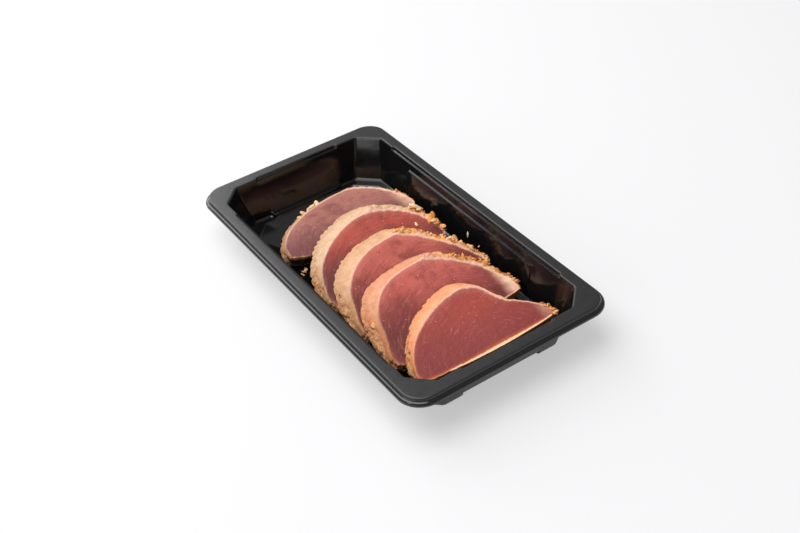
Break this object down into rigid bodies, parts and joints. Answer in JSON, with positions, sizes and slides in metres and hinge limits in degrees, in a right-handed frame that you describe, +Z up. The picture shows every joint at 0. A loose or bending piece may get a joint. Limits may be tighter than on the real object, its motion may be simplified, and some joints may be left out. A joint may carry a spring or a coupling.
{
  "type": "tray of tuna sashimi",
  "caption": "Shallow black plastic food tray with a stepped rim, holding a shingled row of bias-cut slices of rare seared tuna with a pale, browned edge.",
  "frame": {"origin": "middle of the tray's base, on the surface the tray stands on", "axes": "+X along the tray towards the slice that lies on top, +Y across the tray, +Z up"},
  "size_m": [0.2344, 0.1304, 0.028],
  "materials": {
    "black_plastic": "thermoformed black plastic sheet, glossy inside, satin on the flange",
    "tuna_flesh": null
  },
  "bodies": {
    "root": {"tray": "black_plastic", "tuna_slice_1": "tuna_flesh", "tuna_slice_2": "tuna_flesh", "tuna_slice_3": "tuna_flesh", "tuna_slice_4": "tuna_flesh", "tuna_slice_5": "tuna_flesh"}
  },
  "joints": []
}
